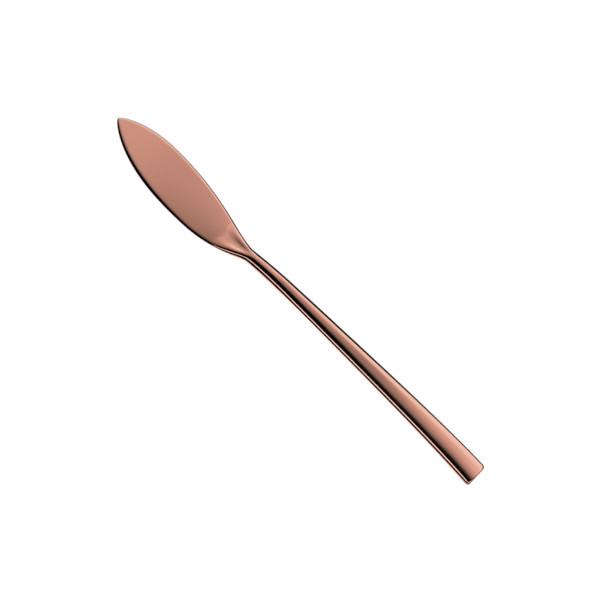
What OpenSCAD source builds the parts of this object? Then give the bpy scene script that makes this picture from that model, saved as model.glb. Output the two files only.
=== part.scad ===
// Fish knife, forged in one piece: a leaf-shaped flat blade, a slim neck and a handle that
// widens steadily to a straight-cut end. It lies on its blade with its good face up, its tip
// towards -X, its spine towards +Y and the table at Z 0. Lengths are in millimetres.
// The skin is one loft: sections square to the length, each worked out from the laws below.

/* [Overall] */
// Length from the blade's tip to the handle's end
overall_l = 207; // [180:1:235]

/* [Blade outline] */
// Distance from the tip to where the spine has come in to the neck
spine_l = 76; // [66:0.5:80]
// Distance from the tip to where the belly has curled in to the neck
belly_l = 78.5; // [70:0.5:82]
// Width of the blade between the furthest points of its spine and its belly
blade_w = 23.4; // [16:0.2:32]
// Distance from the tip to the furthest point of the spine
spine_peak = 25; // [18:0.5:34]
// Distance from the tip to the furthest point of the belly
belly_peak = 46.5; // [36:0.5:52]
// How far the tip stands from the blade's middle line, towards the spine
tip_rise = 2.8; // [0:0.1:5]
// Length taken off the outline's sharp point, so that the tip is blunt
tip_cut = 0.15; // [0.1:0.05:0.5]
// Width of the soft turn where the blade's outline runs into the neck
outline_blend = 1.25; // [0.5:0.05:4]

/* [Blade thickness] */
// Thickness of the blade along its middle, at the root
blade_t = 1.2; // [1:0.05:2]
// Thickness that it has thinned to at the tip
blade_tip_t = 1; // [0.8:0.05:1.6]
// Thickness of the belly's blunt edge, at the root
belly_edge_t = 0.7; // [0.5:0.05:0.9]
// Thickness that the belly's edge has thinned to at the tip
belly_tip_t = 0.5; // [0.4:0.05:0.75]
// Width of the band along the belly over which the face rolls off
belly_roll_w = 3.7; // [1:0.1:5]
// How far the face drops along the spine
spine_drop = 0.1; // [0:0.01:0.2]
// Width of the band over which it does so
spine_roll_w = 1.3; // [0.6:0.1:3]
// How much the face stands up from side to side behind the blade's middle
blade_crown = 0.2; // [0:0.02:0.3]
// Rounding along the spine
spine_edge_r = 0.9; // [0.3:0.05:1.1]
// Rounding along the upper edge of the belly
belly_edge_r = 0.15; // [0.1:0.05:0.3]
// Rounding along the blade's lower edges
blade_under_r = 0.1; // [0.05:0.05:0.3]

/* [Root] */
// Distance from the tip to where the face begins to climb to the neck
root_start = 62.5; // [57:0.5:68]
// Distance from the tip to where it has reached the neck
root_end = 87; // [80:0.5:94]
// How far the rib along the spine side of the root stands up out of the climbing face
rib_h = 0.55; // [0:0.05:0.8]
// How far the belly side of the root stands up out of it
belly_rib_h = 0.45; // [0:0.05:0.6]
// Distance from the tip to where these ribs begin
rib_start = 60.5; // [57:0.5:64]
// Distance from the tip to where they have run out
rib_end = 84; // [78:0.5:90]
// Distance from the tip to where the edges begin to turn from the blade's to the neck's
turn_start = 50; // [44:0.5:56]
// Distance from the tip to where they have done so
turn_end = 77; // [70:0.5:82]

/* [Neck and handle] */
// Width of the neck where it is narrowest
neck_w = 5; // [4:0.1:7]
// Thickness of the neck along its middle
neck_t = 3.3; // [2.7:0.05:4.2]
// Width of the handle at its end
handle_w = 11.7; // [9:0.1:16]
// Thickness of the handle along its middle
handle_t = 2.6; // [2.4:0.05:3.6]
// Distance from the tip to where the neck's thickness has eased to the handle's
slim_end = 113; // [98:1:130]
// How much higher the face is along the handle's middle than at its edges
handle_crown = 0.6; // [0.2:0.05:0.8]
// How far the handle's middle line stands from the blade's, towards the belly
handle_drop = 1.05; // [0:0.05:3]
// Distance from the tip to where the underside leaves the table
arch_start = 73.5; // [64:0.5:80]
// Height of the handle's underside above the table where it arches most
arch_h = 3; // [0.5:0.1:5]
// Distance from the tip to the top of that arch
arch_peak = 116; // [100:1:130]
// Radius of the rounded flanks at the neck
neck_flank_r = 1.2; // [0.6:0.05:1.8]
// Radius of the rounded flanks at the handle's end
end_flank_r = 1.3; // [0.6:0.05:1.8]
// Rounding along the lower edges of the neck and handle
under_edge_r = 0.4; // [0.2:0.05:0.6]
// Rounding of the handle end's two corners, seen from above
end_corner_r = 1.5; // [0.6:0.1:2.5]
// Rounding of the rim round the handle's end face
end_rim_r = 0.35; // [0.2:0.05:0.5]

/* [Hidden] */

// Powers that set how full each curve is. A higher one keeps the curve out longer.
spine_front_power = 2.1;
spine_tip_power = 0.7;
spine_back_power = 2.1;
belly_front_power = 2.4;
belly_tip_power = 0.8;
belly_back_power = 2.4;
back_end_power = 1.05;
widen_power = 0.95;
arch_front_power = 1.2;
arch_rise_power = 2.2;
arch_back_power = 4;
handle_face_power = 2.35;
belly_roll_power = 5.4;
spine_roll_power = 2;

// Largest part of the thickness or half width that a lower rounding may take
under_share = 0.4;
// Largest part of the half width that a flank may take
flank_share = 0.8;
// Part of the thickness that stays upright between a flank and the lower rounding
upright_share = 0.05;
// Parts of the way from the tip to the belly's furthest point between which the crown grows
crown_start_share = 0.45;
crown_end_share = 1.2;
// Part of the way from the middle to the edge over which the face goes up to a rib's top
rib_share = 0.95;
// How far the points across the face crowd towards its edges
crowd_share = 0.7;

// Sections along each stretch, and points across each kind of surface on each side
tip_rings = 20;
front_rings = 10;
leaf_rings = 12;
root_rings = 28;
neck_rings = 18;
handle_rings = 18;
end_rings = 5;
face_points = 12;
flank_points = 7;
under_points = 3;
slope_steps = 4;

// 0 to 1 and smooth at both ends as s goes from a to b
function ease(s, a, b) =
    let (u = min(max((s - a) / (b - a), 0), 1))
    u * u * u * (u * (6 * u - 15) + 10);
function mix(a, b, k) = a + (b - a) * k;
// The larger of two outlines, with a soft turn of width r where they cross
function soft_max(a, b, r) = (a + b + sqrt((a - b) * (a - b) + r * r)) / 2;

// Rise of an outline from the tip, 0, to its peak, 1
function tip_curve(s, peak, full, tip) =
    let (u = min((s + tip_cut) / (peak + tip_cut), 1))
    pow(1 - pow(1 - u, full), tip);
// Fall of an outline from its peak, 1, to the neck, 0
function back_curve(s, peak, end, full) =
    let (v = min(max((s - peak) / (end - peak), 0), 1))
    pow(1 - pow(v, full), back_end_power);

// Half the width of the neck and handle at s from the tip
function strip_half(s) =
    let (v = max((s - belly_l) / (overall_l - belly_l), 0))
    mix(neck_w, handle_w, pow(v, widen_power)) / 2;

// One side of the outline: how far it stands from the blade's middle line.
// The leaf's curve and the edge of the neck and handle meet in a soft turn.
function side_out(s, rise, drop, peak, end, full, tip, back) =
    s < peak
    ? mix(rise, blade_w / 2, tip_curve(s, peak, full, tip))
    : let (
        strip = strip_half(s) + drop,
        near = strip_half(end) + drop,
        leaf = mix(near, blade_w / 2, back_curve(s, peak, end, back)) - max(s - end, 0)
    )
    soft_max(leaf, strip, outline_blend * ease(s, peak, end));
function spine_out(s) =
    side_out(s, tip_rise, -handle_drop, spine_peak, spine_l,
             spine_front_power, spine_tip_power, spine_back_power);
function belly_out(s) =
    side_out(s, -tip_rise, handle_drop, belly_peak, belly_l,
             belly_front_power, belly_tip_power, belly_back_power);

// Height of the underside above the table: flat blade, arched handle, and down to the table
function under_z(s) =
    let (
        rise = min(max((s - arch_start) / (arch_peak - arch_start), 0), 1),
        fall = max((s - arch_peak) / (overall_l - arch_peak), 0)
    )
    arch_h * (1 - pow(1 - pow(rise, arch_front_power), arch_rise_power)) * (1 - pow(fall, arch_back_power));

// How far the face has climbed from the blade, 0, to the neck, 1
function climb(s) = ease(s, root_start, root_end);
// A thickness of the blade, which grows from tip_t at the tip to root_t at the root
function blade_grown(s, root_t, tip_t) =
    let (thin = max(1 - s / root_start, 0))
    mix(root_t, tip_t, thin * thin);
// Thickness along the whole knife's middle: blade, climb to the neck, and easing to the handle's
function middle_t(s) =
    mix(blade_grown(s, blade_t, blade_tip_t), mix(neck_t, handle_t, ease(s, root_end, slim_end)), climb(s));
// How much the blade stands up from side to side
function crown_h(s) =
    blade_crown * ease(s, crown_start_share * belly_peak, crown_end_share * belly_peak) * (1 - climb(s));
// Height of a rib of height h, which rises and falls along the root
function rib(s, h) =
    let (u = ease(s, rib_start, rib_end))
    h * 4 * u * (1 - u);
// How far the face drops to each edge, apart from the crown and the ribs
function spine_fall(s) = mix(spine_drop, handle_crown, climb(s));
function belly_fall(s) =
    mix(blade_grown(s, blade_t - belly_edge_t, blade_tip_t - belly_tip_t), handle_crown, climb(s))
    - crown_h(s);
// How far the edges have turned from the blade's, 0, to the neck's, 1
function edge_turn(s) = ease(s, turn_start, turn_end);
// Radius wanted along an edge, from the blade's to the flanks' of the neck and handle
function edge_r(s, blade_r, turn) =
    mix(blade_r, mix(neck_flank_r, end_flank_r, max(s - root_end, 0) / (overall_l - root_end)), turn);

// Distance lost to a rounding of radius r at x before the handle's end
function rounded_off(x, r) = x < r ? r - sqrt(r * r - (r - x) * (r - x)) : 0;

// Angle at which the face meets the rounding along its edge. The face's half width, face,
// depends on that angle, so both are worked out in a few steps
function edge_slope(half, r, drop, crown, rate, turn, face, steps) =
    let (a = atan(drop * mix(rate, handle_face_power / face, turn) + 2 * crown / face))
    steps == 0 ? a : edge_slope(half, r, drop, crown, rate, turn, half - r * (1 - sin(a)), steps - 1);

// Half a section, from the middle of the face out and down to the flat underside, as points
// [distance from the middle, height above the table]
function half_section(s, half, rim, fall, ridge, r, roll_w, power, turn) =
    let (
        wide = sqrt(half * half + roll_w * roll_w),
        roll = roll_w * half / wide,
        crown = crown_h(s),
        drop = fall * mix(half / wide, 1, turn),
        bottom = under_z(s) + rim,
        top = bottom + middle_t(s) - 2 * rim,
        thick = top - bottom - crown - drop + ridge,
        lower_r = min(mix(blade_under_r, under_edge_r, turn), under_share * thick, under_share * half),
        upper_r = min(r, (1 - upright_share) * thick - lower_r, flank_share * half),
        slope = edge_slope(half, upper_r, drop, crown, power / roll, turn, half - upper_r, slope_steps),
        face = half - upper_r * (1 - sin(slope))
    )
    concat(
        [for (i = [0 : face_points])
            let (
                k = mix(i / face_points, sin(90 * i / face_points), crowd_share),
                rolled = pow(max(1 - (1 - k) * face / roll, 0), power),
                shape = mix(rolled, pow(k, handle_face_power), turn)
            )
            [face * k, top - crown * k * k - drop * shape + ridge * ease(k, 0, rib_share)]],
        [for (i = [1 : flank_points])
            let (a = mix(slope, 90, i / flank_points))
            [half - upper_r + upper_r * sin(a), bottom + thick - upper_r * (cos(slope) - cos(a))]],
        [for (i = [0 : under_points])
            let (a = 90 * i / under_points)
            [half - lower_r + lower_r * cos(a), bottom + lower_r * (1 - sin(a))]]
    );

// The section at s from the tip, as points counter-clockwise seen from the handle's end: from
// the middle of the face down the belly side, then up the spine side
function section(s) =
    let (
        back = overall_l - s,
        rim = rounded_off(back, end_rim_r),
        half = (spine_out(s) + belly_out(s)) / 2 - max(rim, rounded_off(back, end_corner_r)),
        middle_y = (spine_out(s) - belly_out(s)) / 2,
        turn = edge_turn(s),
        belly = half_section(s, half, rim, belly_fall(s), rib(s, belly_rib_h),
                             edge_r(s, belly_edge_r, turn), belly_roll_w, belly_roll_power, turn),
        spine = half_section(s, half, rim, spine_fall(s), rib(s, rib_h),
                             edge_r(s, spine_edge_r, turn), spine_roll_w, spine_roll_power, turn)
    )
    [
        for (p = concat([for (q = belly) [-q[0], q[1]]], [for (i = [len(spine) - 1 : -1 : 1]) spine[i]]))
        [s - overall_l / 2, middle_y + p[0], p[1]]
    ];

// Places of the sections from the tip: close together at the tip, the root and the end
function run(a, b, n) = [for (i = [0 : n - 1]) mix(a, b, i / n)];
stations = concat(
    [for (i = [0 : tip_rings - 1]) spine_peak / 2 * pow(i / tip_rings, 2)],
    run(spine_peak / 2, spine_peak, front_rings / 2),
    run(spine_peak, belly_peak, front_rings),
    run(belly_peak, root_start, leaf_rings),
    run(root_start, root_end, root_rings),
    run(root_end, arch_peak, neck_rings),
    run(arch_peak, overall_l - end_corner_r, handle_rings),
    [for (i = [0 : end_rings]) overall_l - end_corner_r * (1 - sin(90 * i / end_rings))]
);

// A closed skin over a list of sections that all have the same number of points
module loft(sections) {
    n = len(sections[0]);
    last = len(sections) - 1;
    points = [for (one = sections) for (p = one) p];
    sides = [
        for (i = [0 : last - 1])
            for (j = [0 : n - 1])
                let (a = i * n + j, b = i * n + (j + 1) % n)
                each [[a, b + n, b], [a, a + n, b + n]]
    ];
    tip_cap = [for (j = [0 : n - 1]) j];
    end_cap = [for (j = [n - 1 : -1 : 0]) last * n + j];
    polyhedron(points = points, faces = concat(sides, [tip_cap, end_cap]), convexity = 4);
}

// The whole knife: blade, neck and handle in one forging
module fish_knife() {
    color("#C08875") loft([for (s = stations) section(s)]);
}

fish_knife();
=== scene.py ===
"""Fish knife in copper-coated steel: a flat leaf blade, a slim neck and an arched, widening handle.

Lengths are in metres. The tip points to -X, the spine to +Y, and the good face is up.
"""

import logging
import math
from dataclasses import dataclass, field
from enum import Enum

import bpy
import numpy as np
from mathutils import Matrix, Vector


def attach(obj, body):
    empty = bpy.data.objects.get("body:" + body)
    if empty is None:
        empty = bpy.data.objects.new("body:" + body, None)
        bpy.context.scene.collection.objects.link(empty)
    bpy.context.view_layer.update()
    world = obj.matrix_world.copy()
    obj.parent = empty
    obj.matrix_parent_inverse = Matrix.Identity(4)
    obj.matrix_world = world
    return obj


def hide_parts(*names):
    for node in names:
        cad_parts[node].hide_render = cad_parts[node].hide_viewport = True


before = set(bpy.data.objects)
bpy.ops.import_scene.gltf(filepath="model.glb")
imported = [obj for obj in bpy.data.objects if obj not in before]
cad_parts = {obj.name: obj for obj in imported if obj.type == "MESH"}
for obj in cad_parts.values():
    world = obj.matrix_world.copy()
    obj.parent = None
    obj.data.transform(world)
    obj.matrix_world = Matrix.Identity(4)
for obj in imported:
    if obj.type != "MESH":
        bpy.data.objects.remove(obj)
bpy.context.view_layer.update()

log = logging.getLogger("fish_knife")
logging.basicConfig(level=logging.INFO, format="%(name)s: %(message)s")

MM = 0.001
NODE = "fish_knife"
WHITE = (1.0, 1.0, 1.0, 1.0)
BLACK = (0.0, 0.0, 0.0, 1.0)
Array = np.ndarray
Step = tuple[float, float]
Stops = tuple[Step, ...]


# ---------------------------------------------------------------- shader expressions


class Wire:
    """One output socket of a node tree, so that shader maths reads as plain Python."""

    def __init__(self, graph: "Graph", socket: bpy.types.NodeSocket) -> None:
        """Args: graph: the graph it belongs to. socket: the output that it stands for."""
        self.graph = graph
        self.socket = socket

    def _math(self, operation: str, *values: "Wire | float") -> "Wire":
        """Args: operation: a Math node's operation. values: its inputs. Returns: its output."""
        return self.graph.add("ShaderNodeMath", {"operation": operation}, *values)

    def __add__(self, other: "Wire | float") -> "Wire":
        """Sum."""
        return self._math("ADD", self, other)

    def __radd__(self, other: float) -> "Wire":
        """Sum with a number on the left."""
        return self._math("ADD", other, self)

    def __sub__(self, other: "Wire | float") -> "Wire":
        """Difference."""
        return self._math("SUBTRACT", self, other)

    def __rsub__(self, other: float) -> "Wire":
        """Difference with a number on the left."""
        return self._math("SUBTRACT", other, self)

    def __mul__(self, other: "Wire | float") -> "Wire":
        """Product."""
        return self._math("MULTIPLY", self, other)

    def __rmul__(self, other: float) -> "Wire":
        """Product with a number on the left."""
        return self._math("MULTIPLY", other, self)

    def __truediv__(self, other: "Wire | float") -> "Wire":
        """Quotient."""
        return self._math("DIVIDE", self, other)

    def __neg__(self) -> "Wire":
        """Opposite sign."""
        return self._math("MULTIPLY", self, -1.0)

    def clamp(self) -> "Wire":
        """Held between 0 and 1."""
        return self._math("MINIMUM", self._math("MAXIMUM", self, 0.0), 1.0)

    def larger(self, other: "Wire | float") -> "Wire":
        """The larger of the two."""
        return self._math("MAXIMUM", self, other)

    def arctan2(self, other: "Wire") -> "Wire":
        """Angle of the direction with this height over that distance."""
        return self._math("ARCTAN2", self, other)

    def smooth(self, low: float, high: float) -> "Wire":
        """Smooth step, 3u^2 - 2u^3.

        Args:
            low: where it leaves 0.
            high: where it reaches 1.

        Returns:
            The step, 0 to 1.
        """
        return self.graph.add(
            "ShaderNodeMapRange",
            {"interpolation_type": "SMOOTHSTEP"},
            **{"Value": self, "From Min": low, "From Max": high},
        )

    def between(self, rise: Step, fall: Step) -> "Wire":
        """Args: rise, fall: two steps. Returns: 0, then 1 past the first, and 0 past the second."""
        return self.smooth(*rise) * (1.0 - self.smooth(*fall))

    def curve(self, stops: Stops, peak: float) -> "Wire":
        """Value read off a list of places and heights.

        Args:
            stops: places, in order, and the height at each.
            peak: a height that none of them passes.

        Returns:
            The height, with straight runs between the places.
        """
        low, high = stops[0][0], stops[-1][0]
        ramp = [((place - low) / (high - low), height / peak) for place, height in stops]
        share = (self - low) / (high - low)
        return self.graph.add("ShaderNodeValToRGB", {"stops": ramp}, share) * peak


class Graph:
    """A node tree under construction."""

    def __init__(self, tree: bpy.types.NodeTree) -> None:
        """Args: tree: the tree, which is emptied first."""
        self.tree = tree
        tree.nodes.clear()

    def add(
        self,
        kind: str,
        settings: dict[str, object] | None = None,
        *values: object,
        out: int | str = 0,
        **named: object,
    ) -> Wire:
        """Adds a node, makes its settings, then fills its sockets.

        Args:
            kind: the node's type.
            settings: its properties. A ramp's stops are a list of (place, height) under "stops".
            values: links or values of its inputs, by place.
            out: the output to return.
            named: links or values of its inputs, by name.

        Returns:
            The chosen output.
        """
        node = self.tree.nodes.new(kind)
        for key, value in (settings or {}).items():
            if key == "stops":
                self._stops(node.color_ramp, value)
            else:
                setattr(node, key, value)
        for place, value in [*enumerate(values), *named.items()]:
            self._fill(node.inputs[place], value)
        return Wire(self, node.outputs[out]) if len(node.outputs) else Wire(self, None)

    def _stops(self, ramp: bpy.types.ColorRamp, stops: list[tuple[float, float]]) -> None:
        """Fills a ramp with greys.

        Args:
            ramp: a new node's ramp.
            stops: (place, grey) pairs in order, with places from 0 to 1.
        """
        while len(ramp.elements) < len(stops):
            ramp.elements.new(1.0)
        for element, (place, grey) in zip(ramp.elements, stops):
            element.position = place
            element.color = (grey, grey, grey, 1.0)

    def _fill(self, socket: bpy.types.NodeSocket, value: object) -> None:
        """Gives an input its value.

        Args:
            socket: the input.
            value: a wire to link, or a value to set.
        """
        if isinstance(value, Wire):
            self.tree.links.new(value.socket, socket)
        else:
            socket.default_value = value

    def mix_colour(self, factor: "Wire | float", first: object, second: object) -> Wire:
        """Mixes two colours.

        Args:
            factor: how much of the second, 0 to 1.
            first: a colour, or a wire that carries one.
            second: the same.

        Returns:
            The mixed colour.
        """
        node = self.tree.nodes.new("ShaderNodeMix")
        node.data_type = "RGBA"
        for place, value in ((0, factor), (6, first), (7, second)):
            self._fill(node.inputs[place], value)
        return Wire(self, node.outputs[2])


def new_material(name: str) -> tuple[bpy.types.Material, Graph]:
    """Starts a material.

    Args:
        name: its name.

    Returns:
        The material, and its node tree, which is empty.
    """
    material = bpy.data.materials.new(name)
    material.use_nodes = True
    return material, Graph(material.node_tree)


def link(name: str, data: bpy.types.ID) -> bpy.types.Object:
    """Puts a new object into the scene, at the origin.

    Args:
        name: its name.
        data: its mesh, lamp or camera.

    Returns:
        The object.
    """
    piece = bpy.data.objects.new(name, data)
    bpy.context.scene.collection.objects.link(piece)
    return piece


# ---------------------------------------------------------------- the knife's form


class Edge(Enum):
    """The two long edges of the blade."""

    SPINE = 1
    BELLY = -1


def ease(s: Array, start: float, end: float) -> Array:
    """Quintic step: 0 before start, 1 after end, 6u^5 - 15u^4 + 10u^3 between them.

    Args:
        s: places along the knife.
        start: where it leaves 0.
        end: where it reaches 1.

    Returns:
        The step at each place.
    """
    u = np.clip((s - start) / (end - start), 0.0, 1.0)
    return u * u * u * (u * (6.0 * u - 15.0) + 10.0)


def mix(a: Array | float, b: Array | float, k: Array | float) -> Array:
    """a where k is 0, b where k is 1."""
    return a + (b - a) * k


def soft_max(a: Array, b: Array, turn: Array | float) -> Array:
    """The larger of two curves, with a hyperbolic turn of the given width where they cross."""
    return (a + b + np.sqrt((a - b) ** 2 + turn**2)) / 2.0


def rounded_off(x: Array, radius: float) -> Array:
    """What a quarter-round of that radius takes away at x before an end."""
    inside = np.clip(radius - x, 0.0, radius)
    return radius - np.sqrt(radius**2 - inside**2)


@dataclass
class Outline:
    """One edge of the leaf: rise from the tip, furthest point, fall to the neck."""

    length: float
    peak: float
    front_power: float
    tip_power: float
    back_power: float
    end_power: float = 1.05

    def rise(self, s: Array, tip_cut: float) -> Array:
        """1 - (1 - u)^front, to the power tip, with u from the tip, 0, to the peak, 1."""
        u = np.clip((s + tip_cut) / (self.peak + tip_cut), 0.0, 1.0)
        return (1.0 - (1.0 - u) ** self.front_power) ** self.tip_power

    def fall(self, s: Array) -> Array:
        """1 - v^back, to the power end, with v from the peak, 0, to the neck, 1."""
        v = np.clip((s - self.peak) / (self.length - self.peak), 0.0, 1.0)
        return (1.0 - v**self.back_power) ** self.end_power


@dataclass
class Section:
    """What all points of a run of sections share: columns with a row for each section."""

    s: Array
    half: Array
    rim: Array
    bottom: Array
    top: Array
    crown: Array


@dataclass
class FishKnife:
    """The whole knife, forged in one piece. Places along it are measured from the tip."""

    # Outline from above
    overall: float = 207 * MM
    blade_width: float = 23.4 * MM
    tip_rise: float = 2.8 * MM
    tip_cut: float = 0.15 * MM
    outline_blend: float = 1.25 * MM

    # Blade
    blade_thick: float = 1.2 * MM
    blade_tip_thick: float = 1.0 * MM
    belly_edge_thick: float = 0.7 * MM
    belly_tip_thick: float = 0.5 * MM
    belly_roll: float = 3.7 * MM
    spine_drop: float = 0.1 * MM
    spine_roll: float = 1.3 * MM
    blade_crown: float = 0.2 * MM
    spine_radius: float = 0.9 * MM
    belly_radius: float = 0.15 * MM
    blade_under_radius: float = 0.1 * MM

    # Root
    root_start: float = 62.5 * MM
    root_end: float = 87 * MM
    rib_height: float = 0.55 * MM
    belly_rib: float = 0.45 * MM
    rib_start: float = 60.5 * MM
    rib_end: float = 84 * MM
    turn_start: float = 50 * MM
    turn_end: float = 77 * MM

    # Neck and handle
    neck_width: float = 5.0 * MM
    neck_thick: float = 3.3 * MM
    handle_width: float = 11.7 * MM
    handle_thick: float = 2.6 * MM
    slim_end: float = 113 * MM
    handle_crown: float = 0.6 * MM
    handle_drop: float = 1.05 * MM
    arch_start: float = 73.5 * MM
    arch_height: float = 3.0 * MM
    arch_peak: float = 116 * MM
    neck_flank: float = 1.2 * MM
    end_flank: float = 1.3 * MM
    under_radius: float = 0.4 * MM
    end_corner: float = 1.5 * MM
    end_rim: float = 0.35 * MM

    # Powers of the curves, and shares of a height, width or turn
    widen_power: float = 0.95
    arch_front_power: float = 1.2
    arch_rise_power: float = 2.2
    arch_back_power: float = 4.0
    handle_face_power: float = 2.35
    belly_roll_power: float = 5.4
    spine_roll_power: float = 2.0
    under_share: float = 0.4
    flank_share: float = 0.8
    upright_share: float = 0.05
    crown_start_share: float = 0.45
    crown_end_share: float = 1.2
    rib_share: float = 0.95
    crowd_share: float = 0.7
    rim_power: int = 8
    cap_share: float = 0.6

    # How finely the skin is divided
    tip_sections: int = 60
    blade_sections: int = 110
    root_sections: int = 170
    handle_sections: int = 260
    end_sections: int = 28
    slope_rounds: int = 5
    face_points: int = 44
    flank_points: int = 14
    under_points: int = 6

    # The leaf's two edges
    spine: Outline = field(default_factory=lambda: Outline(76 * MM, 25 * MM, 2.1, 0.70, 2.1))
    belly: Outline = field(default_factory=lambda: Outline(78.5 * MM, 46.5 * MM, 2.4, 0.80, 2.4))

    def strip(self, s: Array) -> Array:
        """Half width of the neck and handle: from neck to handle width by a power near 1."""
        v = np.clip((s - self.belly.length) / (self.overall - self.belly.length), 0.0, None)
        return mix(self.neck_width, self.handle_width, v**self.widen_power) / 2.0

    def side(self, s: Array, edge: Edge) -> Array:
        """How far an edge stands from the blade's middle line.

        Args:
            s: places from the tip.
            edge: which edge.

        Returns:
            Distances, positive outwards on either side. The leaf's curve rises from the tip and
            falls back to the neck, where it meets the handle's straight edge in a soft turn.
        """
        form = self.spine if edge is Edge.SPINE else self.belly
        sign = edge.value
        half = self.blade_width / 2.0
        front = mix(sign * self.tip_rise, half, form.rise(s, self.tip_cut))
        strip = self.strip(s) - sign * self.handle_drop
        near = self.strip(np.array(form.length)) - sign * self.handle_drop
        leaf = mix(near, half, form.fall(s)) - np.clip(s - form.length, 0.0, None)
        back = soft_max(leaf, strip, self.outline_blend * ease(s, form.peak, form.length))
        return np.where(s < form.peak, front, back)

    def under(self, s: Array) -> Array:
        """Height of the underside: flat under the blade, then one arch down to the handle's end.

        Args:
            s: places from the tip.

        Returns:
            Heights: the arch's height times 1 - (1 - rise^a)^b, times 1 - fall^c, with rise from
            the arch's start to its peak and fall from there to the end, each 0 to 1.
        """
        rise = np.clip((s - self.arch_start) / (self.arch_peak - self.arch_start), 0.0, 1.0)
        fall = np.clip((s - self.arch_peak) / (self.overall - self.arch_peak), 0.0, 1.0)
        lift = 1.0 - (1.0 - rise**self.arch_front_power) ** self.arch_rise_power
        return self.arch_height * lift * (1.0 - fall**self.arch_back_power)

    def climb(self, s: Array) -> Array:
        """How far the face has climbed from the blade, 0, to the neck, 1."""
        return ease(s, self.root_start, self.root_end)

    def grown(self, s: Array, root: float, tip: float) -> Array:
        """A thickness of the blade, which grows with the square of the way from the tip."""
        return mix(root, tip, np.clip(1.0 - s / self.root_start, 0.0, None) ** 2)

    def middle(self, s: Array) -> Array:
        """Thickness along the whole knife's middle.

        Args:
            s: places from the tip.

        Returns:
            Thicknesses: the blade's, then mixed by the climb with the neck's, which eases into
            the handle's.
        """
        blade = self.grown(s, self.blade_thick, self.blade_tip_thick)
        handle = mix(self.neck_thick, self.handle_thick, ease(s, self.root_end, self.slim_end))
        return mix(blade, handle, self.climb(s))

    def crown(self, s: Array) -> Array:
        """How much the blade stands up from side to side."""
        start, end = (share * self.belly.peak for share in (self.crown_start_share, self.crown_end_share))
        return self.blade_crown * ease(s, start, end) * (1.0 - self.climb(s))

    def rib(self, s: Array, height: float) -> Array:
        """Height of a rib along one side of the root: 4 u (1 - u) of its full height."""
        u = ease(s, self.rib_start, self.rib_end)
        return height * 4.0 * u * (1.0 - u)

    def fall(self, s: Array, edge: Edge) -> Array:
        """How far the face drops to an edge, apart from the crown and the ribs.

        Args:
            s: places from the tip.
            edge: which edge.

        Returns:
            Drops: on the blade a small one on the spine's side, and what its belly is thinner
            than its middle on the other, then mixed by the climb with the handle's.
        """
        if edge is Edge.SPINE:
            return mix(self.spine_drop, self.handle_crown, self.climb(s))
        root = self.blade_thick - self.belly_edge_thick
        tip = self.blade_tip_thick - self.belly_tip_thick
        return mix(self.grown(s, root, tip), self.handle_crown, self.climb(s)) - self.crown(s)

    def places(self) -> Array:
        """Where the sections stand, from tip to end.

        Returns:
            Places from the tip, closer together at the tip, the root and the end's corner, where
            they go by the sine of an even turn.
        """
        corner = self.overall - self.end_corner
        leaf = self.spine.peak / 2.0
        turn = np.linspace(0.0, math.pi / 2.0, self.end_sections)
        return np.concatenate(
            [
                leaf * np.linspace(0.0, 1.0, self.tip_sections, endpoint=False) ** 2,
                np.linspace(leaf, self.root_start, self.blade_sections, endpoint=False),
                np.linspace(self.root_start, self.root_end, self.root_sections, endpoint=False),
                np.linspace(self.root_end, corner, self.handle_sections, endpoint=False),
                corner + self.end_corner * np.sin(turn),
            ]
        )

    def half_section(self, part: Section, edge: Edge) -> tuple[Array, Array, Array]:
        """Points from the middle of the face out over an edge and down to the flat underside.

        On the blade the face is flat and rolls off within a band along the edge. On the handle it
        falls by a power of the distance from the middle. A crown of k^2 comes on top of both, and
        at the root the side's rib. A flank and a lower rounding, each a circular arc, close the
        side. The flank takes over from the face at the face's own slope there, which a few rounds
        of trial settle.

        Args:
            part: the sections.
            edge: which side of them.

        Returns:
            Distances from the middle, heights, and a value that is 0 on the face and 1 round the
            flank and below.
        """
        s, half, crown = part.s, part.half, part.crown
        spine = edge is Edge.SPINE
        turn = ease(s, self.turn_start, self.turn_end)
        band = self.spine_roll if spine else self.belly_roll
        power = self.spine_roll_power if spine else self.belly_roll_power
        ridge = self.rib(s, self.rib_height if spine else self.belly_rib)
        flank = mix(self.neck_flank, self.end_flank, (s - self.root_end) / (self.overall - self.root_end))
        flank = np.where(s < self.root_end, self.neck_flank, flank)
        wanted = mix(self.spine_radius if spine else self.belly_radius, flank, turn)
        wide = np.sqrt(half**2 + band**2)
        roll = band * half / wide
        drop = self.fall(s, edge) * mix(half / wide, 1.0, turn)
        thick = part.top - part.bottom - crown - drop + ridge
        under = mix(self.blade_under_radius, self.under_radius, turn)
        lower = np.minimum.reduce([under, self.under_share * thick, self.under_share * half])
        room = (1.0 - self.upright_share) * thick - lower
        upper = np.minimum.reduce([wanted, room, self.flank_share * half])
        face = half - upper
        for _ in range(self.slope_rounds):
            steep = drop * mix(power / roll, self.handle_face_power / face, turn)
            slope = np.arctan(steep + 2.0 * crown / face)
            face = half - upper * (1.0 - np.sin(slope))

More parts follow.
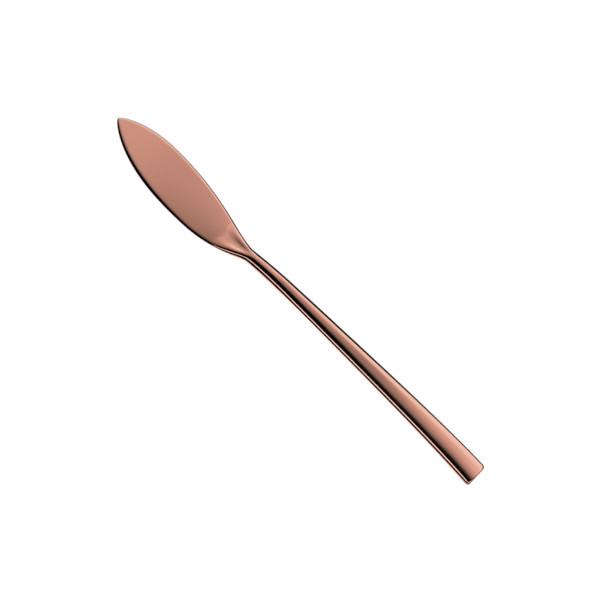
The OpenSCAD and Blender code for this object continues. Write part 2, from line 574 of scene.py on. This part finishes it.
        t = np.linspace(0.0, 1.0, self.face_points + 1)[None, :]
        k = mix(t, np.sin(math.pi / 2.0 * t), self.crowd_share)
        rolled = np.clip(1.0 - (1.0 - k) * face / roll, 0.0, None) ** power
        shape = mix(rolled, k**self.handle_face_power, turn)
        angle = mix(slope, math.pi / 2.0, np.linspace(0.0, 1.0, self.flank_points + 1)[None, 1:])
        foot = np.linspace(0.0, math.pi / 2.0, self.under_points + 1)[None, :]
        out = [face * k, half - upper * (1.0 - np.sin(angle)), half - lower * (1.0 - np.cos(foot))]
        up = [
            part.top - crown * k**2 - drop * shape + ridge * ease(k, 0.0, self.rib_share),
            part.bottom + thick - upper * (np.cos(slope) - np.cos(angle)),
            part.bottom + lower * (1.0 - np.sin(foot)),
        ]
        rim = [np.ones_like(s) * k**self.rim_power, np.ones_like(out[1]), np.ones_like(out[2])]
        return tuple(np.concatenate(parts, axis=1) for parts in (out, up, rim))

    def skin(self) -> tuple[Array, Array]:
        """The loft as a grid of sections by points round them.

        Returns:
            Points of shape (sections, round, 3), and in the same rows the value that is 1 on the
            flanks.
        """
        s = self.places()[:, None]
        spine, belly = self.side(s, Edge.SPINE), self.side(s, Edge.BELLY)
        rim = rounded_off(self.overall - s, self.end_rim)
        corner = rounded_off(self.overall - s, self.end_corner)
        bottom = self.under(s) + rim
        half = (spine + belly) / 2.0 - np.maximum(rim, corner)
        part = Section(s, half, rim, bottom, bottom + self.middle(s) - 2.0 * rim, self.crown(s))
        near, far = self.half_section(part, Edge.BELLY), self.half_section(part, Edge.SPINE)
        across, height, rolled = (
            np.concatenate([sign * a, b[:, :0:-1]], axis=1)
            for a, b, sign in zip(near, far, (-1.0, 1.0, 1.0))
        )
        along = (s - self.overall / 2.0) * np.ones_like(across)
        return np.stack([along, (spine - belly) / 2.0 + across, height], axis=2), rolled

    def mesh(self) -> bpy.types.Mesh:
        """Joins the grid round each section and along the knife, and closes both ends.

        Returns:
            The mesh, smooth, with a point attribute "edge" that is 1 on the flanks.
        """
        grid, rolled = self.skin()
        rows, count, _ = grid.shape
        caps = []
        for row in (0, rows - 1):
            heart = grid[row].mean(axis=0)
            caps.append(mix(heart, grid[row], self.cap_share))
            caps.append(heart[None, :])
        points = np.concatenate([grid.reshape(-1, 3), *caps])
        first = np.arange(rows * count).reshape(rows, count)
        after = np.roll(first, -1, axis=1)
        walls = np.stack([first[:-1], first[1:], after[1:], after[:-1]], axis=-1).reshape(-1, 4)
        base = rows * count
        faces = [walls]
        fans = []
        for row, ring, flip in ((0, base, False), (rows - 1, base + count + 1, True)):
            inner = ring + np.arange(count)
            outer = first[row]
            quads = np.stack([outer, np.roll(outer, -1), np.roll(inner, -1), inner], axis=-1)
            fan = np.stack([inner, np.roll(inner, -1), np.full(count, ring + count)], axis=-1)
            faces.append(quads[:, ::-1] if flip else quads)
            fans.append(fan[:, ::-1] if flip else fan)
        quads, triangles = np.concatenate(faces), np.concatenate(fans)

        mesh = bpy.data.meshes.new("fish_knife_skin")
        mesh.vertices.add(len(points))
        mesh.vertices.foreach_set("co", points.ravel())
        mesh.loops.add(quads.size + triangles.size)
        mesh.loops.foreach_set("vertex_index", np.concatenate([quads.ravel(), triangles.ravel()]))
        mesh.polygons.add(len(quads) + len(triangles))
        starts = np.concatenate([np.arange(len(quads)) * 4, quads.size + np.arange(len(triangles)) * 3])
        mesh.polygons.foreach_set("loop_start", starts)
        mesh.update(calc_edges=True)
        mesh.validate()
        mesh.polygons.foreach_set("use_smooth", np.ones(len(mesh.polygons), dtype=bool))
        edge = np.concatenate([rolled.ravel(), np.ones(len(points) - base)])
        mesh.attributes.new("edge", "FLOAT", "POINT").data.foreach_set("value", edge)
        return mesh

    def build(self, finish: "CopperCoat") -> bpy.types.Object:
        """Makes the knife, riding on the CAD body in place of its node.

        Args:
            finish: its coat.

        Returns:
            The knife.
        """
        piece = link("fish_knife_polished", self.mesh())
        piece.data.materials.append(finish.material())
        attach(piece, "root")
        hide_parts(NODE)
        return piece


# ---------------------------------------------------------------- finish


@dataclass(frozen=True)
class CopperCoat:
    """Polished steel under a copper-coloured coat, with fine polishing lines along the knife.

    The scales of the lines and of the cloudy variation are in waves to the metre.
    """

    colour: tuple[float, float, float] = (0.85, 0.39, 0.29)
    worn: tuple[float, float, float] = (0.87, 0.42, 0.32)
    cloud_wear: float = 0.35
    edge_wear: float = 0.25
    roughness: float = 0.09
    roughness_spread: float = 0.03
    line_scale: tuple[float, float, float] = (40.0, 2200.0, 2200.0)
    line_detail: float = 4.0
    line_roughness: float = 0.6
    line_depth: float = 0.0003 * MM
    line_strength: float = 0.25
    cloud_scale: float = 38.0
    cloud_detail: float = 3.0
    cloud_roughness: float = 0.5

    def material(self) -> bpy.types.Material:
        """Makes the coat from constants and patterns on Object coordinates.

        Noise drawn out along the knife gives the polishing lines, which set roughness and a
        shallow bump. Cloudy noise and the flanks' attribute turn the colour to the worn one.

        Returns:
            The material.
        """
        material, graph = new_material("copper_coat")
        place = graph.add("ShaderNodeTexCoord", out="Object")
        edge = graph.add("ShaderNodeAttribute", {"attribute_name": "edge"}, out="Fac")
        lengthwise = graph.add("ShaderNodeMapping", {}, place, Scale=self.line_scale)
        lines = graph.add(
            "ShaderNodeTexNoise",
            {},
            lengthwise,
            Scale=1.0,
            Detail=self.line_detail,
            Roughness=self.line_roughness,
        )
        cloud = graph.add(
            "ShaderNodeTexNoise",
            {},
            place,
            Scale=self.cloud_scale,
            Detail=self.cloud_detail,
            Roughness=self.cloud_roughness,
        )
        tone = (cloud - 0.5) * self.cloud_wear + edge * self.edge_wear
        colour = graph.mix_colour(tone.clamp(), (*self.colour, 1.0), (*self.worn, 1.0))
        rough = self.roughness + (lines + cloud - 1.0) * self.roughness_spread
        bump = graph.add(
            "ShaderNodeBump", {}, Strength=self.line_strength, Distance=self.line_depth, Height=lines
        )
        shader = graph.add(
            "ShaderNodeBsdfPrincipled",
            {},
            **{"Base Color": colour, "Metallic": 1.0, "Roughness": rough, "Normal": bump},
        )
        graph.add("ShaderNodeOutputMaterial", {}, shader)
        return material


# ---------------------------------------------------------------- studio


@dataclass(frozen=True)
class RoomLight:
    """Soft light round the table, in strips that run along the knife.

    A direction of light has an angle round the knife's length, in degrees from straight up and
    negative on the spine's side, and a part x along the knife, negative towards the tip. Stops
    are pairs of a place and the value there, and a step is the pair of places between which it
    rises from 0 to 1.
    """

    # Strength by angle: light on the spine's side, darkness overhead, light on the near side
    strip_stops: Stops = (
        (-90.0, 0.0), (-67.0, 0.0), (-63.5, 0.2), (-60.0, 1.18), (-55.0, 1.05), (-46.0, 1.0),
        (-42.0, 0.94), (-38.0, 0.82), (-35.0, 0.78), (-32.0, 0.75), (-28.0, 0.61), (-24.0, 0.50),
        (-20.0, 0.46), (-16.0, 0.37), (-12.0, 0.24), (-8.0, 0.14), (-4.0, 0.03), (0.0, 0.0),
        (38.0, 0.0), (46.0, 1.2), (50.0, 1.65), (66.0, 1.65), (70.0, 0.15), (90.0, 0.0),
    )
    strip_peak: float = 1.7

    # Degrees by x that the near strip turns towards straight up, from least to most
    near_turn: Step = (-10.0, 14.0)
    near_turn_x: Step = (-0.2, 0.2)
    near_turn_angles: Step = (4.0, 24.0)

    # Degrees by x that the edge of the light over the face turns to the spine, plus turn_none
    turn_stops: Stops = (
        (-0.60, 4.0), (-0.40, 4.0), (-0.34, 3.0), (-0.28, 5.5), (-0.22, 6.0), (-0.17, 3.5),
        (-0.12, 1.5), (-0.10, 2.5), (-0.08, 3.3), (-0.06, 3.3), (-0.045, 0.8), (0.0, 0.8),
        (0.05, 3.4), (0.09, 3.8), (0.11, 4.3), (0.16, 6.8), (0.20, 8.0), (0.60, 8.2),
    )
    turn_peak: float = 9.0
    turn_none: float = 4.0
    turn_rise: Step = (-24.0, -12.0)
    turn_fall: Step = (4.0, 12.0)

    # Factor by x on the light over the face
    face_stops: Stops = (
        (-0.60, 0.50), (-0.50, 0.78), (-0.40, 0.93), (-0.34, 0.97), (-0.26, 0.99), (-0.22, 1.04),
        (-0.203, 0.97), (-0.188, 0.88), (-0.155, 0.80), (-0.12, 0.76), (-0.057, 0.70),
        (-0.02, 0.74), (0.023, 0.88), (0.05, 0.95), (0.08, 1.01), (0.16, 1.04), (0.25, 1.2),
        (0.60, 1.2),
    )
    face_peak: float = 1.2
    face_rise: Step = (-44.0, -30.0)
    face_fall: Step = (0.0, 10.0)

    # Factor by x on the band between the face's light and the strongest strip
    band_stops: Stops = (
        (-0.60, 1.0), (-0.27, 1.0), (-0.24, 1.06), (-0.21, 1.09), (-0.17, 1.0), (-0.115, 1.0),
        (-0.095, 1.15), (-0.075, 1.15), (-0.055, 1.0), (-0.045, 0.75), (-0.03, 0.77), (0.04, 1.0),
        (0.60, 1.0),
    )
    band_peak: float = 1.2
    band_rise: Step = (-43.0, -37.0)
    band_fall: Step = (-30.0, -22.0)

    # What the near strip loses towards the handle's end, and where all strips stop there
    near_loss: float = 0.6
    near_loss_x: Step = (0.16, 0.28)
    near_loss_angles: Step = (10.0, 30.0)
    strips_end_x: Step = (0.5, 0.65)

    # Light from the two ends of the room. Past the handle it stays off the spine's side
    end_light: float = 0.8
    handle_end_x: Step = (0.52, 0.66)
    handle_end_y: Step = (0.1, 0.35)
    tip_end_x: Step = (0.62, 0.76)

    # Colours of weak and of strong light
    shade: tuple[float, float, float] = (1.0, 1.18, 1.08)
    shade_step: Step = (0.1, 0.5)
    highlight: tuple[float, float, float] = (0.98, 1.28, 1.37)
    highlight_step: Step = (0.75, 1.1)

    def strength(self, x: Wire, y: Wire, z: Wire) -> Wire:
        """Strength of the light from a direction.

        It is the strips' strength at the direction's angle, after the turns of the near strip
        and of the light's edge over the face, times the factors by x, or the light of the room's
        ends where that is stronger.

        Args:
            x, y, z: the direction's parts along the knife, towards the spine and up.

        Returns:
            The strength.
        """
        angle = (-y).arctan2(z) * (180.0 / math.pi)
        least, most = self.near_turn
        turn = x.smooth(*self.near_turn_x) * (most - least) + least
        angle = angle + turn * angle.smooth(*self.near_turn_angles)
        turn = x.curve(self.turn_stops, self.turn_peak) - self.turn_none
        angle = angle + turn * angle.between(self.turn_rise, self.turn_fall)
        light = angle.curve(self.strip_stops, self.strip_peak)
        face = x.curve(self.face_stops, self.face_peak) - 1.0
        light = light * (1.0 + face * angle.between(self.face_rise, self.face_fall))
        band = x.curve(self.band_stops, self.band_peak) - 1.0
        light = light * (1.0 + band * angle.between(self.band_rise, self.band_fall))
        loss = x.smooth(*self.near_loss_x) * angle.smooth(*self.near_loss_angles) * self.near_loss
        light = light * (1.0 - loss) * (1.0 - x.smooth(*self.strips_end_x))
        handle_end = x.smooth(*self.handle_end_x) * (1.0 - y.smooth(*self.handle_end_y))
        tip_end = (-x).smooth(*self.tip_end_x)
        return light.larger((handle_end + tip_end) * self.end_light)

    def build(self) -> None:
        """Sets the world: weak light is a little green, and the strongest is the coolest."""
        world = bpy.data.worlds.new("studio")
        world.use_nodes = True
        bpy.context.scene.world = world
        graph = Graph(world.node_tree)
        place = graph.add("ShaderNodeTexCoord", out="Generated")
        x, y, z = (graph.add("ShaderNodeSeparateXYZ", {}, place, out=axis) for axis in range(3))
        light = self.strength(x, y, z)
        weak = graph.mix_colour(light.smooth(*self.shade_step), (*self.shade, 1.0), WHITE)
        strong = light.smooth(*self.highlight_step)
        tint = graph.mix_colour(strong, weak, (*self.highlight, 1.0))
        back = graph.add("ShaderNodeBackground", {}, tint, light)
        graph.add("ShaderNodeOutputWorld", {}, back)


@dataclass
class Studio:
    """White floor, room light, a soft lamp, dark sheets beside the knife that paint shade into its
    reflections only, and the camera.

    The camera's angles are in degrees. In a picture of the given size, the pixel called middle
    shows a point of the knife's axis, middle_place pixels towards the tip from its centre.
    """

    floor_half: float = 30.0
    floor_glow: float = 0.94
    floor_white: float = 0.9
    lamp_power: float = 50.0
    lamp_size: float = 2.0
    lamp_place: tuple[float, float, float] = (0.0, -0.3, 2.2)
    pixel: float = 0.4073 * MM
    picture: int = 600
    elevation: float = 60.0
    azimuth: float = 10.0
    roll: float = 35.39
    distance: float = 0.8
    sensor: float = 36.0
    sight: float = 100.0
    middle: tuple[float, float] = (272.50, 277.22)
    middle_place: float = 28.85
    # Sizes of the dark sheets that paint shade into the knife's reflections only
    card_height: float = 0.2 * MM
    card_reach: float = 700 * MM
    card_points: int = 120
    far_gap: float = 0.05 * MM

    # Millimetres from the tip, and there the near painted-shade sheet's gap or the height of a sheet's
    # lip
    near_gaps: Stops = ((60.0, 0.05), (70.0, 0.6), (80.0, 0.65), (92.0, 1.4), (116.0, 1.7))
    near_lips: Stops = ((0.0, 2.5), (60.0, 2.5), (66.0, 1.4), (70.0, 0.2))
    far_lips: Stops = (
        (12.0, 0.2), (25.0, 1.45), (55.0, 1.65), (62.0, 1.8), (72.0, 2.8), (76.0, 3.2), (80.0, 4.0),
        (86.0, 3.5), (95.0, 0.2),
    )

    def floor(self) -> None:
        """A flat floor that shows as white and keeps a faint shadow of the knife."""
        h = self.floor_half
        mesh = bpy.data.meshes.new("floor")
        mesh.from_pydata([(-h, -h, 0), (h, -h, 0), (h, h, 0), (-h, h, 0)], [], [(0, 1, 2, 3)])
        material, graph = new_material("white_floor")
        matt = graph.add("ShaderNodeBsdfDiffuse", {}, (self.floor_white,) * 3 + (1.0,))
        glow = graph.add("ShaderNodeEmission", {}, WHITE, 1.0)
        camera, glossy, through = (
            graph.add("ShaderNodeLightPath", {}, out=f"Is {ray} Ray")
            for ray in ("Camera", "Glossy", "Transmission")
        )
        seen = camera.larger(glossy).larger(through) * self.floor_glow
        shader = graph.add("ShaderNodeMixShader", {}, seen, matt, glow)
        graph.add("ShaderNodeOutputMaterial", {}, shader)
        mesh.materials.append(material)
        link("floor", mesh)

    def painted_shade_sheets(self, knife: FishKnife) -> None:
        """Two dark sheets flat on the table, seen only in the knife's reflections, where they paint shade
        along its edges.

        A sheet has three rows of points: the top of its lip, the lip's foot and its outer edge.
        Both follow the knife's outline at a small gap, which on the near side widens along the
        root and the neck, and they meet behind its end. The lips stand along the blade and the
        root.

        Args:
            knife: the knife.
        """
        # Black, and seen only in reflections: painted shade for the knife's edges
        material, graph = new_material("painted_shade_sheet")
        graph.add("ShaderNodeOutputMaterial", {}, graph.add("ShaderNodeBsdfDiffuse", {}, BLACK))
        s = np.linspace(0.0, knife.overall, self.card_points)
        tip, end = -knife.overall / 2.0, knife.overall / 2.0 + self.far_gap
        x = np.concatenate([[-self.card_reach], s + tip, [end, end, self.card_reach]])
        low = np.full_like(x, self.card_height)
        near_gap = np.interp(s / MM, *np.transpose(self.near_gaps)) * MM
        for name, edge, gap, lips in (
            ("near_painted_shade", Edge.BELLY, near_gap, self.near_lips),
            ("far_painted_shade", Edge.SPINE, self.far_gap, self.far_lips),
        ):
            line = edge.value * (knife.side(s, edge) + gap)
            inner = np.concatenate([line[:1], line, line[-1:], [0.0, 0.0]])
            outer = np.full_like(inner, edge.value * self.card_reach)
            lip = np.interp((x - tip) / MM, *np.transpose(lips)) * MM
            lip[0] = self.card_height
            rows = np.stack([x, inner, lip]), np.stack([x, inner, low]), np.stack([x, outer, low])
            first = np.concatenate([np.arange(len(x) - 1), np.arange(len(x) - 1) + len(x)])
            faces = np.stack([first, first + 1, first + len(x) + 1, first + len(x)], axis=1)
            mesh = bpy.data.meshes.new(name)
            mesh.from_pydata(np.concatenate(rows, axis=1).T.tolist(), [], faces.tolist())
            mesh.materials.append(material)
            card = link(name, mesh)
            # Hidden from the camera, from diffuse light and from shadows, so the sheet only paints shade
            # into reflections
            card.visible_camera = card.visible_diffuse = card.visible_shadow = False
            card.visible_transmission = card.visible_volume_scatter = False

    def lamp(self) -> None:
        """A large soft lamp high over the table, for the floor."""
        data = bpy.data.lights.new("overhead", "AREA")
        data.shape, data.size, data.energy = "DISK", self.lamp_size, self.lamp_power
        lamp = link("overhead", data)
        lamp.location = self.lamp_place
        lamp.visible_glossy = lamp.visible_camera = False

    def camera(self) -> None:
        """A long lens over the near side, rolled so that the knife runs down to the right."""
        az, el, roll = (math.radians(a) for a in (self.azimuth, self.elevation, self.roll))
        back = Vector((math.sin(az) * math.cos(el), -math.cos(az) * math.cos(el), math.sin(el)))
        right = Vector((math.cos(az), math.sin(az), 0.0))
        level = Matrix((right, back.cross(right), back)).transposed()
        turned = level @ Matrix.Rotation(roll, 3, "Z")
        data = bpy.data.cameras.new("camera")
        data.sensor_width = self.sensor
        data.lens = self.sensor * self.distance / (self.pixel * self.picture)
        data.clip_end = self.sight
        dx = (self.middle[0] - self.picture / 2.0) * self.pixel
        dy = (self.picture / 2.0 - self.middle[1]) * self.pixel
        axis = Vector((self.middle_place * self.pixel, 0.0, 0.0))
        aim = -axis - (turned @ Vector((dx, dy, 0.0)))
        camera = link("camera", data)
        camera.matrix_world = Matrix.Translation(aim + back * self.distance) @ turned.to_4x4()
        bpy.context.scene.camera = camera

    def build(self, knife: FishKnife, room: RoomLight) -> None:
        """Sets the whole stage.

        Args:
            knife: the knife.
            room: the light round it.
        """
        self.floor()
        self.painted_shade_sheets(knife)
        room.build()
        self.lamp()
        self.camera()
        bpy.context.scene.view_settings.view_transform = "Standard"


def main() -> None:
    """Builds the knife and its studio."""
    knife = FishKnife()
    piece = knife.build(CopperCoat())
    log.info("%s: %d faces", piece.name, len(piece.data.polygons))
    studio = Studio()
    studio.build(knife, RoomLight())
    log.info("studio: floor, cards, room light, lamp, camera at %.0f degrees", studio.elevation)


if __name__ == "__main__":
    main()
